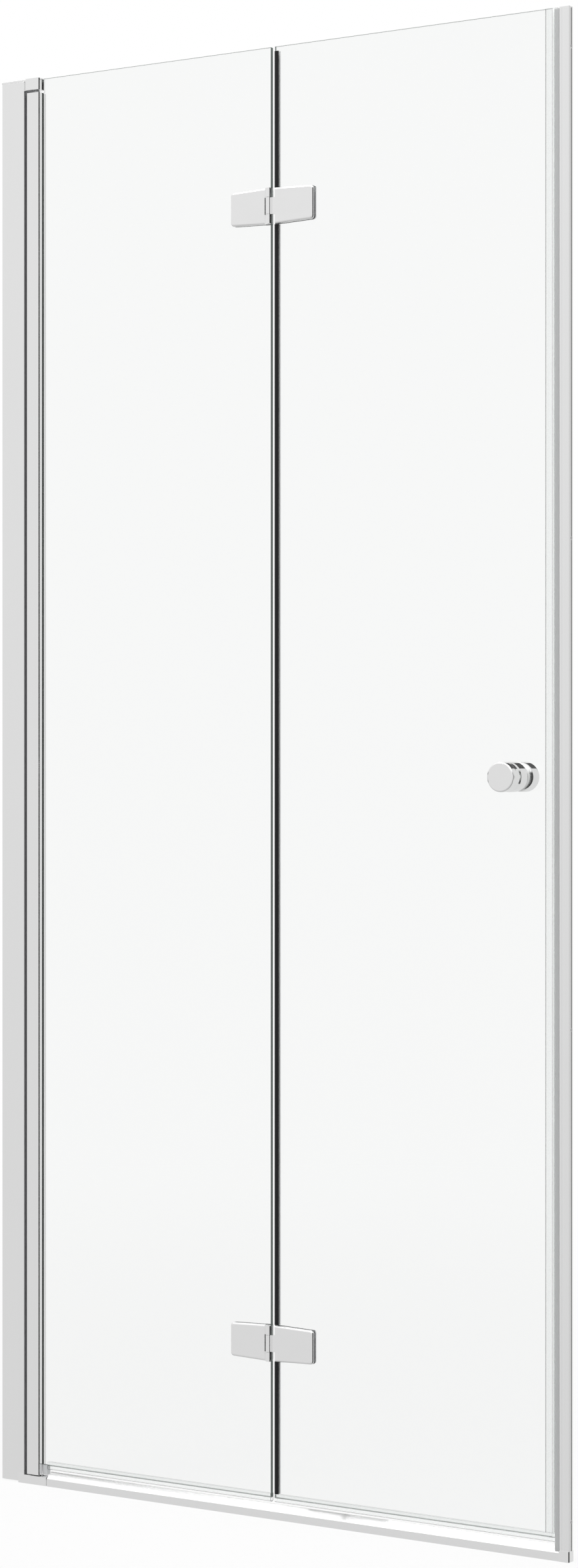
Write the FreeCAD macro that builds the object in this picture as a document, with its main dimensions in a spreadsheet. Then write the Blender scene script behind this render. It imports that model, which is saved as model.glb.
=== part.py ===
"""Folding shower door for a niche: a pivot leaf and a closing leaf of clear glass.

Frame: X runs along the door from the left wall to the right wall, with 0 at mid width.
Y = 0 is the middle plane of the closed glass and -Y is the outside, where the hinge knuckles are.
Z = 0 is the shower tray.  All sizes are millimetres.
"""
import FreeCAD, Part
import math
import os
import re

import Sketcher

# Driving sizes, one cell of the sheet each.
SIZES = {
    # Whole door: wall face to wall face, and tray to the top of the left cap.
    "door_width": 900,
    "door_height": 1950,
    "glass_thick": 5,
    "glass_drop": 1.5,
    "glass_lift": 26.7,
    "pivot_pane_width": 386.5,
    "pivot_notch": 8,
    "pane_gap": 6.7,
    "closing_gap": 30,
    # Left wall channel, its cap and its wall screw holes.
    "wall_width": 39,
    "wall_depth": 25,
    "wall_skin": 2,
    "wall_web": 2.5,
    "wall_lift": 2,
    "wall_edge": 1.5,
    "fixing_inset": 50,
    "fixing_bore": 6,
    "cap_thick": 4.5,
    "cap_overhang": 1.5,
    "cap_plug": 6,
    "cap_round": 3,
    "cap_edge": 2,
    "cap_seam": 0.6,
    # Adjusting profile that slides in the channel, with its clamping screws.
    "slide_gap": 0.2,
    "adjust_skin": 2,
    "adjust_reach": 28,
    "adjust_recess": 1,
    "tail_length": 32,
    "clamp_bore": 4,
    "clamp_head": 8,
    "clamp_head_high": 2.2,
    "clamp_grip": 6,
    # Pivots: blocks on the frame, pins in the blocks, bushes in the leaf.
    "slot_width": 4.5,
    "profile_width": 20.5,
    "profile_skin": 1.5,
    "profile_edge": 3,
    "profile_corner": 1,
    "lip_edge": 1,
    "pivot_inset": 7,
    "glass_bite": 6,
    "lip_short": 1.8,
    "gasket_thick": 0.5,
    "gasket_side": 1.8,
    "gasket_inset": 0.5,
    "swing_gap": 0.9,
    "block_height": 16,
    "block_drop": 1,
    "block_gap": 4,
    "pin_bore": 6,
    "pin_run": 0.05,
    "seat_gap": 0.02,
    "pin_grip": 12,
    "bush_length": 16,
    "collar_gap": 0.3,
    "foot_height": 12,
    "foot_lap": 9,
    "foot_reach": 14.5,
    "washer_thick": 1.2,
    # Threshold rail on the tray and its right end piece.
    "rail_proud": 1.5,
    "rail_depth": 12,
    "rail_height": 10.4,
    "ridge_height": 18.5,
    "ridge_width": 1.5,
    "rail_skin": 1.4,
    "rail_joint": 0.9,
    "end_proud": 0.6,
    "end_height": 13.5,
    "end_round": 3,
    "tongue_length": 10,
    # Slim strike profile on the right wall, its cap, seal and magnet.
    "strike_width": 14,
    "strike_depth": 10.25,
    "strike_drop": 3.5,
    "strike_cap": 1.5,
    "strike_bore": 4.5,
    "screw_groove": 2,
    "screw_groove_deep": 2.2,
    "seal_slot": 4.4,
    "seal_slot_deep": 4,
    "seal_setback": 0.4,
    "strike_line": 3,
    "strike_line_wide": 0.8,
    "strike_line_deep": 0.5,
    "strike_edge": 0.4,
    "strike_back_edge": 1.5,
    "strike_head": 7.2,
    "magnet_thick": 2.4,
    "magnet_wide": 5,
    "magnet_cover": 0.3,
    # Clear seals on the glass edges and the black strip at the fold.
    "seal_skin": 1,
    "drip_leg": 4.6,
    "drip_drop": 6.5,
    "drip_start": 8.5,
    "drip_overrun": 5,
    "closing_leg": 9.4,
    "closing_nose": 7.4,
    "fold_leg": 5.8,
    "fold_leg_rear": 3.6,
    "fold_inset": 6,
    "end_gap": 0.3,
    # Glass to glass hinges.
    "hinge_from_top": 211,
    "hinge_from_bottom": 204.3,
    "plate_reach": 62,
    "plate_inner": 48.2,
    "plate_outer": 44.5,
    "plate_round": 4.5,
    "plate_thick": 3.7,
    "plate_edge": 2.8,
    "pad_thick": 0.8,
    "back_inset": 2,
    "fold_out": 0.2,
    "fold_front": 5,
    "knuckle_wide": 7,
    "knuckle_deep": 7.8,
    "knuckle_round": 2,
    "knuckle_high": 47.4,
    "knuckle_middle": 22.5,
    "knuckle_gap": 0.3,
    "neck_recess": 0.4,
    "pivot_plate_gap": 7.1,
    "closing_plate_gap": 8.9,
    "hinge_pin": 3.5,
    "hinge_bush": 4.8,
    "pin_recess": 0.4,
    "hinge_hole": 10,
    "hole_near": 21,
    "hole_far": 46,
    "hinge_screw": 5,
    "hinge_screw_head": 9,
    "hinge_screw_head_high": 2.2,
    "hinge_screw_grip": 2.6,
    "socket_bore": 3,
    "socket_deep": 1.3,
    # Round knob on both faces of the closing leaf.
    "knob_from_edge": 52.2,
    "knob_height": 982,
    "knob_wide": 38,
    "knob_out": 41,
    "knob_in": 29,
    "knob_disc": 9,
    "knob_slope": 3.5,
    "knob_waist": 5.5,
    "knob_waist_deep": 0.8,
    "knob_chamfer": 1.6,
    "knob_chamfer_deep": 1,
    "knob_edge": 1.2,
    "knob_shoulder": 4,
    "knob_inner_round": 8,
    "knob_pad": 0.8,
    "knob_pad_wide": 28,
    "knob_hole": 12,
    "stud_bore": 6,
    "stud_grip": 16,
}

# Places worked out from the driving sizes, each a formula.
PLACES = {
    "left": "-door_width / 2",
    "right": "door_width / 2",
    "front": "-wall_depth / 2",
    "rear": "wall_depth / 2",
    "glass_front": "-glass_thick / 2",
    "glass_rear": "glass_thick / 2",
    "glass_top": "door_height - glass_drop",
    "channel_top": "door_height - cap_thick",
    "wall_mouth": "left + wall_width",
    "cap_right": "wall_mouth + cap_overhang",
    "adjust_face": "wall_mouth - adjust_recess",
    "adjust_back": "adjust_face - adjust_reach",
    "adjust_half": "rear - wall_skin - slide_gap",
    "tail_half": "adjust_half - adjust_skin - slide_gap",
    "clamp_x": "adjust_face - adjust_reach / 2",
    "profile_left": "wall_mouth + slot_width",
    "profile_right": "profile_left + profile_width",
    "profile_rear": "slot_width + pivot_inset - 2 * swing_gap",
    "lip_end": "profile_right - lip_short",
    "groove_half": "glass_rear + gasket_side",
    "pivot_x": "profile_left + pivot_inset",
    "pivot_left": "profile_right - glass_bite",
    "pivot_right": "pivot_left + pivot_pane_width",
    "closing_left": "pivot_right + pane_gap",
    "closing_right": "right - closing_gap",
    "boss_r": "pivot_left - pivot_x - swing_gap",
    "bush_r": "pivot_inset - profile_skin",
    "block_top": "door_height - block_drop",
    "block_bottom": "block_top - block_height",
    "profile_top": "block_bottom - block_gap",
    "profile_foot": "foot_height + washer_thick",
    "foot_left": "wall_mouth - foot_lap",
    "foot_right": "profile_right + foot_reach",
    "rail_front": "front - rail_proud",
    "rail_rear": "rail_front + rail_depth",
    "strike_left": "right - strike_width",
    "strike_top": "door_height - strike_drop",
    "strike_middle": "front + strike_depth / 2",
    "strike_face": "strike_left - strike_head",
    "drip_bottom": "glass_lift - drip_drop",
    "drip_top": "glass_lift + drip_leg",
    "seal_half": "glass_rear + seal_skin",
    "fold_x": "pivot_right + fold_out",
    "fold_y": "glass_front - fold_front",
    "plate_rear": "glass_front - pad_thick",
    "plate_front": "plate_rear - plate_thick",
    "upper_z": "glass_top - hinge_from_top",
    "lower_z": "glass_lift + hinge_from_bottom",
    "knob_x": "closing_right - knob_from_edge",
    "knob_r": "knob_wide / 2",
    "knob_face": "glass_front - knob_out",
    "knob_back": "glass_rear + knob_in",
}

# Each sketch plane: the role of the origin plane, the axis that a pad runs along, and whether it is reversed.
PLANES = {"XY": ("XY_Plane", "z", False), "XZ": ("XZ_Plane", "y", True), "YZ": ("YZ_Plane", "x", False)}
# Each turning axis: the sketch plane that holds its outline and the sketch axis it turns about.
TURNS = {"y": ("XY", "V_Axis"), "z": ("XZ", "V_Axis")}
# Turn that lays a cylinder along each axis.
LAY = {
    "x": FreeCAD.Rotation(FreeCAD.Vector(0, 1, 0), 90),
    "y": FreeCAD.Rotation(FreeCAD.Vector(1, 0, 0), -90),
    "z": FreeCAD.Rotation(),
}
FIXINGS = 4
TOUCH = 1e-4

doc = FreeCAD.newDocument("folding_shower_door")
nodes = []


def make_sheet():
    """One row per driving size: its name, and its value in a cell with that alias."""
    sheet = doc.addObject("Spreadsheet::Sheet", "Sizes")
    for row, (name, value) in enumerate(SIZES.items(), 1):
        sheet.set(f"A{row}", name)
        sheet.set(f"B{row}", str(value))
        sheet.setAlias(f"B{row}", name)
    doc.recompute()


def formula(text):
    """Spell a formula out in the sheet's cells: places are expanded, sizes point at their cells."""

    def spell(match):
        word = match.group(0)
        if word in PLACES:
            return f"({formula(PLACES[word])})"
        return f"Sizes.{word}" if word in SIZES else word

    return re.sub(r"[a-z_]+", spell, text)


def bind(thing, prop, text):
    thing.setExpression(prop, formula(text))


def place(thing, **at):
    """Bind the thing's placement: x, y and z are formulas."""
    for axis, text in at.items():
        bind(thing, f"Placement.Base.{axis}", text)


def node(label, thing):
    """Keep a finished sub-part under its name."""
    thing.Label = label
    nodes.append(thing)
    return thing


def draw_outline(sketch, corners):
    """Closed outline of straight sides: each corner's two coordinates are formulas."""
    count = len(corners)
    first = len(sketch.Geometry)
    angles = [2 * math.pi * i / count for i in range(count)]
    ring = [FreeCAD.Vector(math.cos(angle), math.sin(angle), 0) for angle in angles]
    for i in range(count):
        sketch.addGeometry(Part.LineSegment(ring[i], ring[(i + 1) % count]), False)
    for i in range(count):
        sketch.addConstraint(Sketcher.Constraint("Coincident", first + i, 2, first + (i + 1) % count, 1))
    for i, (across, up) in enumerate(corners):
        fix_point(sketch, first + i, 1, ring[i], across, up)


def draw_hole(sketch, across, up, bore):
    """Round hole: centre and diameter are formulas."""
    start = FreeCAD.Vector(0, 0, 0)
    hole = sketch.addGeometry(Part.Circle(start, FreeCAD.Vector(0, 0, 1), 1), False)
    fix_point(sketch, hole, 3, start, across, up)
    size = sketch.addConstraint(Sketcher.Constraint("Diameter", hole, 2))
    bind(sketch, f"Constraints[{size}]", bore)


def fix_point(sketch, part, end, start, across, up):
    for kind, value, text in (("DistanceX", start.x, across), ("DistanceY", start.y, up)):
        index = sketch.addConstraint(Sketcher.Constraint(kind, part, end, value))
        bind(sketch, f"Constraints[{index}]", text)


def start_body(name, plane):
    """Body with an empty sketch on one of its own origin planes."""
    body = doc.addObject("PartDesign::Body", name)
    sketch = body.newObject("Sketcher::SketchObject", name + "_outline")
    role = PLANES[plane][0]
    support = [feature for feature in body.Origin.OriginFeatures if feature.Role == role][0]
    sketch.AttachmentSupport = (support, [""])
    sketch.MapMode = "FlatFace"
    return body, sketch


def round_edges(body, points, radius):
    """Fillet the edges that pass through the given points of the body."""
    feature = body.Tip
    spots = [Part.Vertex(point) for point in points]
    names = [
        f"Edge{i}"
        for i, edge in enumerate(feature.Shape.Edges, 1)
        if any(edge.distToShape(spot)[0] < TOUCH for spot in spots)
    ]
    fillet = body.newObject("PartDesign::Fillet", body.Name + "_round")
    fillet.Base = (feature, names)
    bind(fillet, "Radius", radius)
    doc.recompute()


def extrusion(name, plane, outline, start, length, rounds=(), rims=(), inner=(), holes=(), **at):
    """Outline carried along the plane's normal.

    Rounds are (corner numbers, radius) of the outline.  Rims are (side number, radius, share of the length):
    the run of smoothly joined edges through that side's middle, on the first or the last face.
    """
    body, sketch = start_body(name, plane)
    for corners in (outline, *inner):
        draw_outline(sketch, corners)
    for hole in holes:
        draw_hole(sketch, *hole)
    pad = body.newObject("PartDesign::Pad", name + "_pad")
    pad.Profile = sketch
    pad.Reversed = PLANES[plane][2]
    bind(pad, "Length", length)
    axis = PLANES[plane][1]
    place(body, **{axis: start}, **at)
    doc.recompute()
    middle = FreeCAD.Vector(*(pad.Length.Value / 2 * (axis == letter) for letter in "xyz"))
    for corners, radius in rounds:
        flat = [sketch.Placement.multVec(sketch.Geometry[i].StartPoint) for i in corners]
        round_edges(body, [point + middle for point in flat], radius)
    for side, radius, share in rims:
        line = sketch.Geometry[side]
        flat = sketch.Placement.multVec((line.StartPoint + line.EndPoint) / 2)
        round_edges(body, [flat + middle * 2 * share], radius)
    return body


def turned(name, axis, outline, rounds=(), **at):
    """Outline of (radius, distance along the axis) turned about the axis."""
    plane, sketch_axis = TURNS[axis]
    body, sketch = start_body(name, plane)
    draw_outline(sketch, outline)
    turn = body.newObject("PartDesign::Revolution", name + "_turn")
    turn.Profile = sketch
    turn.ReferenceAxis = (sketch, [sketch_axis])
    turn.Angle = 360
    place(body, **at)
    doc.recompute()
    for corners, radius in rounds:
        flat = [sketch.Placement.multVec(sketch.Geometry[i].StartPoint) for i in corners]
        round_edges(body, [FreeCAD.Vector(-point.x, point.y, point.z) for point in flat], radius)
    return body


def ring(name, axis, bore, outside, start, end, **at):
    """Straight sleeve between two places on the axis; bore and outside are radii."""
    return turned(name, axis, ((bore, start), (outside, start), (outside, end), (bore, end)), **at)


def rod(name, axis, radius, length, **at):
    """Plain cylinder from the given place along an axis."""
    thing = doc.addObject("Part::Cylinder", name)
    thing.Placement.Rotation = LAY[axis]
    bind(thing, "Radius", radius)
    bind(thing, "Height", length)
    place(thing, **at)
    return thing


def box(name, x, y, z):
    """Block between pairs of formulas along each axis."""
    thing = doc.addObject("Part::Box", name)
    for prop, axis, (low, high) in (("Length", "x", x), ("Width", "y", y), ("Height", "z", z)):
        bind(thing, prop, f"{high} - ({low})")
        bind(thing, f"Placement.Base.{axis}", low)
    return thing


def fuse(name, *parts):
    thing = doc.addObject("Part::MultiFuse", name)
    thing.Shapes = parts
    thing.Refine = True
    return thing


def group(name, *parts):
    """Separate solids kept together under one name."""
    thing = doc.addObject("Part::Compound", name)
    thing.Links = parts
    return thing


def cut(name, base, *tools):
    thing = doc.addObject("Part::Cut", name)
    thing.Base = base
    thing.Tool = tools[0] if len(tools) == 1 else group(name + "_tools", *tools)
    thing.Refine = True
    return thing


def spread(low, high, count):
    """Evenly spaced formulas from low to high."""
    return [f"{low} + ({high} - ({low})) * {i} / {count - 1}" for i in range(count)]


def clamp_heights():
    """Clamping screws: one in each pivot block's tail and the rest evenly between."""
    return spread("foot_height + tail_length / 2", "block_bottom - tail_length / 2", FIXINGS)


def wall_profile_left():
    outline = (
        ("left", "front"),
        ("wall_mouth", "front"),
        ("wall_mouth", "front + wall_skin"),
        ("left + wall_web", "front + wall_skin"),
        ("left + wall_web", "rear - wall_skin"),
        ("wall_mouth", "rear - wall_skin"),
        ("wall_mouth", "rear"),
        ("left", "rear"),
    )
    rounds = [((0,), "wall_edge")]
    channel = extrusion("wall_channel", "XY", outline, "wall_lift", "channel_top - wall_lift", rounds)
    heights = spread("wall_lift + fixing_inset", "channel_top - fixing_inset", FIXINGS)
    holes = [
        rod(f"wall_hole_{i}", "x", "fixing_bore / 2", "wall_web", x="left", z=height)
        for i, height in enumerate(heights)
    ]
    bore = "clamp_bore / 2 + slide_gap"
    inside = "rear - wall_skin"
    holes += [
        rod(f"clamp_way_{i}", "y", bore, "wall_skin", x="clamp_x", y=inside, z=height)
        for i, height in enumerate(clamp_heights())
    ]
    node("wall_profile_left", cut("wall_profile_left", channel, *holes))


def wall_profile_cap():
    outline = (("left", "front"), ("cap_right", "front"), ("cap_right", "rear"), ("left", "rear"))
    rims = [(0, "cap_edge", 1), (0, "cap_seam", 0)]
    lid = extrusion("cap_lid", "XY", outline, "channel_top", "cap_thick", [((1, 2), "cap_round")], rims)
    half = "(rear - wall_skin - slide_gap)"
    plug = box(
        "cap_plug",
        ("left + wall_web + slide_gap", "adjust_back - slide_gap"),
        (f"-{half}", half),
        ("channel_top - cap_plug", "channel_top"),
    )
    node("wall_profile_cap", fuse("wall_profile_cap", lid, plug))


def adjusting_profile():
    outline = (
        ("adjust_back", "-adjust_half"),
        ("adjust_face", "-adjust_half"),
        ("adjust_face", "adjust_half"),
        ("adjust_back", "adjust_half"),
        ("adjust_back", "adjust_half - adjust_skin"),
        ("adjust_face - adjust_skin", "adjust_half - adjust_skin"),
        ("adjust_face - adjust_skin", "adjust_skin - adjust_half"),
        ("adjust_back", "adjust_skin - adjust_half"),
    )
    channel = extrusion("adjust_channel", "XY", outline, "foot_height", "block_bottom - foot_height")
    holes = [
        rod(
            f"clamp_thread_{i}",
            "y",
            "clamp_bore / 2 + seat_gap",
            "adjust_skin",
            x="clamp_x",
            y="adjust_half - adjust_skin",
            z=height,
        )
        for i, height in enumerate(clamp_heights())
    ]
    node("adjusting_profile", cut("adjusting_profile", channel, *holes))


def adjusting_screws():
    tip = "adjust_half - adjust_skin - clamp_grip"
    outline = (
        ("0", tip),
        ("clamp_bore / 2", tip),
        ("clamp_bore / 2", "rear"),
        ("clamp_head / 2", "rear"),
        ("clamp_head / 2", "rear + clamp_head_high"),
        ("socket_bore / 2", "rear + clamp_head_high"),
        ("socket_bore / 2", "rear + clamp_head_high - socket_deep"),
        ("0", "rear + clamp_head_high - socket_deep"),
    )
    screws = [
        turned(f"clamp_screw_{i}", "y", outline, [((4,), "clamp_head_high / 3")], x="clamp_x", z=height)
        for i, height in enumerate(clamp_heights())
    ]
    node("adjusting_screws", group("adjusting_screws", *screws))


def clamp_seat(name, height):
    """Threaded hole for a clamping screw in a pivot block's tail."""
    seat = "tail_half + slide_gap - clamp_grip - slide_gap"
    bore = "clamp_bore / 2 + seat_gap"
    return rod(name, "y", bore, "clamp_grip + slide_gap", x="clamp_x", y=seat, z=height)


def block_tail(name, low, high):
    """Tongue of a pivot block inside the adjusting profile."""
    sides = ("adjust_back", "adjust_face - adjust_skin - slide_gap")
    return box(name, sides, ("-tail_half", "tail_half"), (low, high))


def pivot_block_top():
    shoulder = "cap_right + end_gap"
    arm = box(
        "top_arm",
        ("adjust_back", shoulder),
        ("-adjust_half", "adjust_half"),
        ("block_bottom", "channel_top - slide_gap"),
    )
    height = ("block_bottom", "block_top")
    head = box("top_head", (shoulder, "pivot_x"), ("front", "boss_r"), height)
    back = "groove_half"
    face = ((shoulder, "front"), ("profile_right", "front"), ("profile_right", back), (shoulder, back))
    plate = extrusion("top_plate", "XY", face, "block_bottom", "block_height", [((1,), "profile_edge")])
    boss = rod("top_boss", "z", "boss_r", "block_height", x="pivot_x", z="block_bottom")
    tail = block_tail("top_tail", "block_bottom - tail_length", "block_bottom")
    bore = rod("top_bore", "z", "pin_bore / 2 + seat_gap", "pin_grip", x="pivot_x", z="block_bottom")
    solid = fuse("top_solid", arm, head, plate, boss, tail)
    seat = clamp_seat("top_clamp_seat", "block_bottom - tail_length / 2")
    node("pivot_block_top", cut("pivot_block_top", solid, bore, seat))


def pivot_block_bottom():
    height = ("0", "foot_height")
    lip = box("foot_lip", ("foot_left", "foot_right"), ("rail_front", "front"), height)
    seat_left = "wall_mouth + slide_gap"
    seat = box("foot_seat", (seat_left, "profile_right"), ("rail_front", "profile_rear"), height)
    toe = box("foot_toe", (seat_left, "foot_right"), ("rail_front", "rail_rear"), height)
    arm_sides = ("-adjust_half", "adjust_half")
    arm = box("foot_arm", ("adjust_back", seat_left), arm_sides, ("wall_lift", "foot_height"))
    tail = block_tail("foot_tail", "foot_height", "foot_height + tail_length")
    tongue = rail_tongue("foot_tongue", "foot_right", "foot_right + tongue_length")
    bore = rod(
        "foot_bore", "z", "pin_bore / 2 + seat_gap", "foot_height - rail_skin", x="pivot_x", z="rail_skin"
    )
    solid = fuse("foot_solid", lip, seat, toe, arm, tail, tongue)
    clamp = clamp_seat("foot_clamp_seat", "foot_height + tail_length / 2")
    node("pivot_block_bottom", cut("pivot_block_bottom", solid, bore, clamp))


def pivot_pins():
    """Top pin hangs from its block into the leaf, bottom pin stands in the foot."""
    pins = {
        "pivot_pin_top": ("profile_top - bush_length", "block_bottom + pin_grip"),
        "pivot_pin_bottom": ("rail_skin", "profile_foot + bush_length"),
    }
    for name, (low, high) in pins.items():
        outline = (("0", low), ("pin_bore / 2", low), ("pin_bore / 2", high), ("0", high))
        node(name, turned(name, "z", outline, x="pivot_x"))


def rail_tongue(name, start, end):
    """Tongue that keys an end piece into the hollow of the rail."""
    return box(
        name,
        (start, end),
        ("rail_front + rail_skin + slide_gap", "rail_rear - rail_skin - slide_gap"),
        ("rail_skin + slide_gap", "rail_height - rail_skin - slide_gap"),
    )


def rail_section(rear, gap):
    """Section of the rail as far as the given rear, raised by a gap."""
    return (
        ("rail_front", "0"),
        (rear, "0"),
        (rear, f"ridge_height + {gap}"),
        ("rail_rear - ridge_width", f"ridge_height + {gap}"),
        ("rail_front", f"rail_height + {gap}"),
    )


def threshold_rail():
    hollow = (
        ("rail_front + rail_skin", "rail_skin"),
        ("rail_rear - rail_skin", "rail_skin"),
        ("rail_rear - rail_skin", "ridge_height - 3 * rail_skin"),
        ("rail_front + rail_skin", "rail_height - rail_skin"),
    )
    start = "foot_right + rail_joint"
    length = f"strike_left - ({start})"
    outline = rail_section("rail_rear", "0")
    node("threshold_rail", extrusion("threshold_rail", "YZ", outline, start, length, inner=[hollow]))


def threshold_end_right():
    face = "rail_front - end_proud"
    outline = (("strike_left", face), ("right", face), ("right", "rail_rear"), ("strike_left", "rail_rear"))
    block = extrusion("end_block", "XY", outline, "0", "end_height", [((1,), "end_round")])
    tongue = rail_tongue("end_tongue", "strike_left - tongue_length", "strike_left")
    node("threshold_end_right", fuse("threshold_end_right", block, tongue))


def strike_profile():
    """Slim bar: a fine line drawn down its face, a slot for the seal and a groove for the wall screws."""
    rear = "front + strike_depth"
    line_end = "strike_left + strike_line + strike_line_wide"
    outline = (
        ("strike_left", "front"),
        ("strike_left + strike_line", "front"),
        ("strike_left + strike_line", "front + strike_line_deep"),
        (line_end, "front + strike_line_deep"),
        (line_end, "front"),
        ("right", "front"),
        ("right", "strike_middle - screw_groove / 2"),
        ("right - screw_groove_deep", "strike_middle - screw_groove / 2"),
        ("right - screw_groove_deep", "strike_middle + screw_groove / 2"),
        ("right", "strike_middle + screw_groove / 2"),
        ("right", rear),
        ("strike_left", rear),
        ("strike_left", "strike_middle + seal_slot / 2"),
        ("strike_left + seal_slot_deep", "strike_middle + seal_slot / 2"),
        ("strike_left + seal_slot_deep", "strike_middle - seal_slot / 2"),
        ("strike_left", "strike_middle - seal_slot / 2"),
    )
    length = "strike_top - strike_cap - end_height"
    rounds = [((5,), "strike_edge"), ((10,), "strike_back_edge")]
    bar = extrusion("strike_bar", "XY", outline, "end_height", length, rounds)
    heights = spread("fixing_inset", "strike_top - fixing_inset", FIXINGS)
    start = "strike_left + seal_slot_deep"
    run = f"right - ({start})"
    holes = [
        rod(f"strike_hole_{i}", "x", "strike_bore / 2", run, x=start, y="strike_middle", z=height)
        for i, height in enumerate(heights)
    ]
    node("strike_profile", cut("strike_profile", bar, *holes))


def strike_profile_cap():
    rear = "front + strike_depth"
    outline = (("strike_left", "front"), ("right", "front"), ("right", rear), ("strike_left", rear))
    rounds = [((1,), "strike_edge"), ((2,), "strike_back_edge")]
    lid = extrusion("strike_lid", "XY", outline, "strike_top - strike_cap", "strike_cap", rounds)
    node("strike_profile_cap", lid)


def magnet_slot(face, way):
    """Hollow for a magnet strip behind a thin cover: way is + or - into the seal."""
    near = f"{face} {way} magnet_cover"
    far = f"{face} {way} (magnet_cover + magnet_thick)"
    low = "-magnet_wide / 2"
    high = "magnet_wide / 2"
    return ((near, low), (far, low), (far, high), (near, high))


def strike_seal():
    """Clear carrier: a foot in the profile's slot, and a head that faces the leaf and ends over the rail."""
    foot_half = "(seal_slot / 2 - slide_gap)"
    outline = (
        ("strike_face", "front + seal_setback"),
        ("strike_left", "front + seal_setback"),
        ("strike_left", f"strike_middle - {foot_half}"),
        ("strike_left + seal_slot_deep - seal_skin", f"strike_middle - {foot_half}"),
        ("strike_left + seal_slot_deep - seal_skin", f"strike_middle + {foot_half}"),
        ("strike_left", f"strike_middle + {foot_half}"),
        ("strike_left", "magnet_wide / 2 + seal_skin"),
        ("strike_face", "magnet_wide / 2 + seal_skin"),
    )
    low = "rail_height + end_gap"
    high = "strike_top - strike_cap - end_gap"
    slot = magnet_slot("strike_face", "+")
    carrier = extrusion("strike_carrier", "XY", outline, low, f"{high} - ({low})", inner=[slot])
    over_rail = rail_section("rear", "end_gap")
    clear = extrusion("strike_clearance", "YZ", over_rail, "strike_face", "right - strike_face")
    node("strike_seal", cut("strike_seal", carrier, clear))
    low = "ridge_height + end_gap"
    node("strike_magnet", extrusion("strike_magnet", "XY", slot, low, f"{high} - ({low})"))


def pane(name, left, right, notch, holes):
    """Glass plate whose top left corner is cut out: notch is the corner's (right side, lower side)."""
    outline = [(left, "glass_lift"), (right, "glass_lift"), (right, "glass_top")]
    if notch:
        side, floor = notch
        outline += [(side, "glass_top"), (side, floor), (left, floor)]
    else:
        outline.append((left, "glass_top"))
    node(name, extrusion(name, "XZ", outline, "glass_front", "glass_thick", holes=holes))


def hinge_holes(edge, way):
    """Screw holes of both hinges in a pane: way is + or - from its edge into the glass."""
    return [
        (f"{edge} {way} {inset}", height, "hinge_hole")
        for height in ("upper_z", "lower_z")
        for inset in ("hole_near", "hole_far")
    ]


def panes():
    notch = ("pivot_left + pivot_notch", "profile_top")
    pane("pivot_pane", "pivot_left", "pivot_right", notch, hinge_holes("pivot_right", "-"))
    holes = [*hinge_holes("closing_left", "+"), ("knob_x", "knob_height", "knob_hole")]
    pane("closing_pane", "closing_left", "closing_right", None, holes)


def pivot_profile():
    """Rotating profile: a groove for the glass, a round bore for the bushes, a hollow front wall."""
    floor = "pivot_left - gasket_thick"
    outline = (
        ("profile_left", "front"),
        ("profile_right", "front"),
        ("profile_right", "-groove_half"),
        (floor, "-groove_half"),
        (floor, "groove_half"),
        ("lip_end", "groove_half"),
        ("lip_end", "profile_rear"),
        ("profile_left", "profile_rear"),
    )
    hollow = (
        ("profile_left + profile_edge", "front + profile_skin"),
        ("profile_right - profile_edge", "front + profile_skin"),
        ("profile_right - profile_edge", "-bush_r - profile_skin"),
        ("profile_left + profile_edge", "-bush_r - profile_skin"),
    )
    bore = ("pivot_x", "0", "2 * (bush_r + seat_gap)")
    rounds = [
        ((0,), "profile_corner"),
        ((1,), "profile_edge"),
        ((6,), "lip_edge"),
        ((7,), "pivot_inset - profile_skin / 10"),
    ]
    length = "profile_top - profile_foot"
    hollows = {"inner": [hollow], "holes": [bore]}
    bar = extrusion("pivot_profile", "XY", outline, "profile_foot", length, rounds, **hollows)
    node("pivot_profile", bar)


def glazing_gasket():
    floor = "pivot_left - gasket_thick"
    front_end = "profile_right - gasket_inset"
    rear_end = "lip_end - gasket_inset"
    outline = (
        (floor, "-groove_half"),
        (front_end, "-groove_half"),
        (front_end, "glass_front"),
        ("pivot_left", "glass_front"),
        ("pivot_left", "glass_rear"),
        (rear_end, "glass_rear"),
        (rear_end, "groove_half"),
        (floor, "groove_half"),
    )
    length = "profile_top - glass_lift"
    node("glazing_gasket", extrusion("glazing_gasket", "XY", outline, "glass_lift", length))


def pivot_bushes():
    bore = "pin_bore / 2 + pin_run"
    collar = "(bush_r - profile_skin / 2)"
    rim = "block_bottom - collar_gap"
    low = "profile_top - bush_length"
    outline = (
        (bore, low),
        ("bush_r", low),
        ("bush_r", "profile_top"),
        (collar, "profile_top"),
        (collar, rim),
        (bore, rim),
    )
    node("pivot_bush_top", turned("pivot_bush_top", "z", outline, x="pivot_x"))
    high = "profile_foot + bush_length"
    plug = ring("pivot_bush_bottom", "z", bore, "bush_r", "profile_foot", high, x="pivot_x")
    node("pivot_bush_bottom", plug)
    face = "foot_height + pin_run"
    washer = ring("pivot_washer", "z", bore, "pivot_inset - pin_run", face, "profile_foot", x="pivot_x")
    node("pivot_washer", washer)


def drip_seal(name, left, right):
    """Clear strip on the lower edge of a pane: two legs that grip it and a hollow bulb below."""
    outline = (
        ("-seal_half", "drip_bottom"),
        ("seal_half", "drip_bottom"),
        ("seal_half", "drip_top"),
        ("glass_rear", "drip_top"),
        ("glass_rear", "glass_lift"),
        ("glass_front", "glass_lift"),
        ("glass_front", "drip_top"),
        ("-seal_half", "drip_top"),
    )
    hollow = (
        ("glass_front", "drip_bottom + seal_skin"),
        ("glass_rear", "drip_bottom + seal_skin"),
        ("glass_rear", "glass_lift - seal_skin"),
        ("glass_front", "glass_lift - seal_skin"),
    )
    node(name, extrusion(name, "YZ", outline, left, f"{right} - ({left})", inner=[hollow]))


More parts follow.
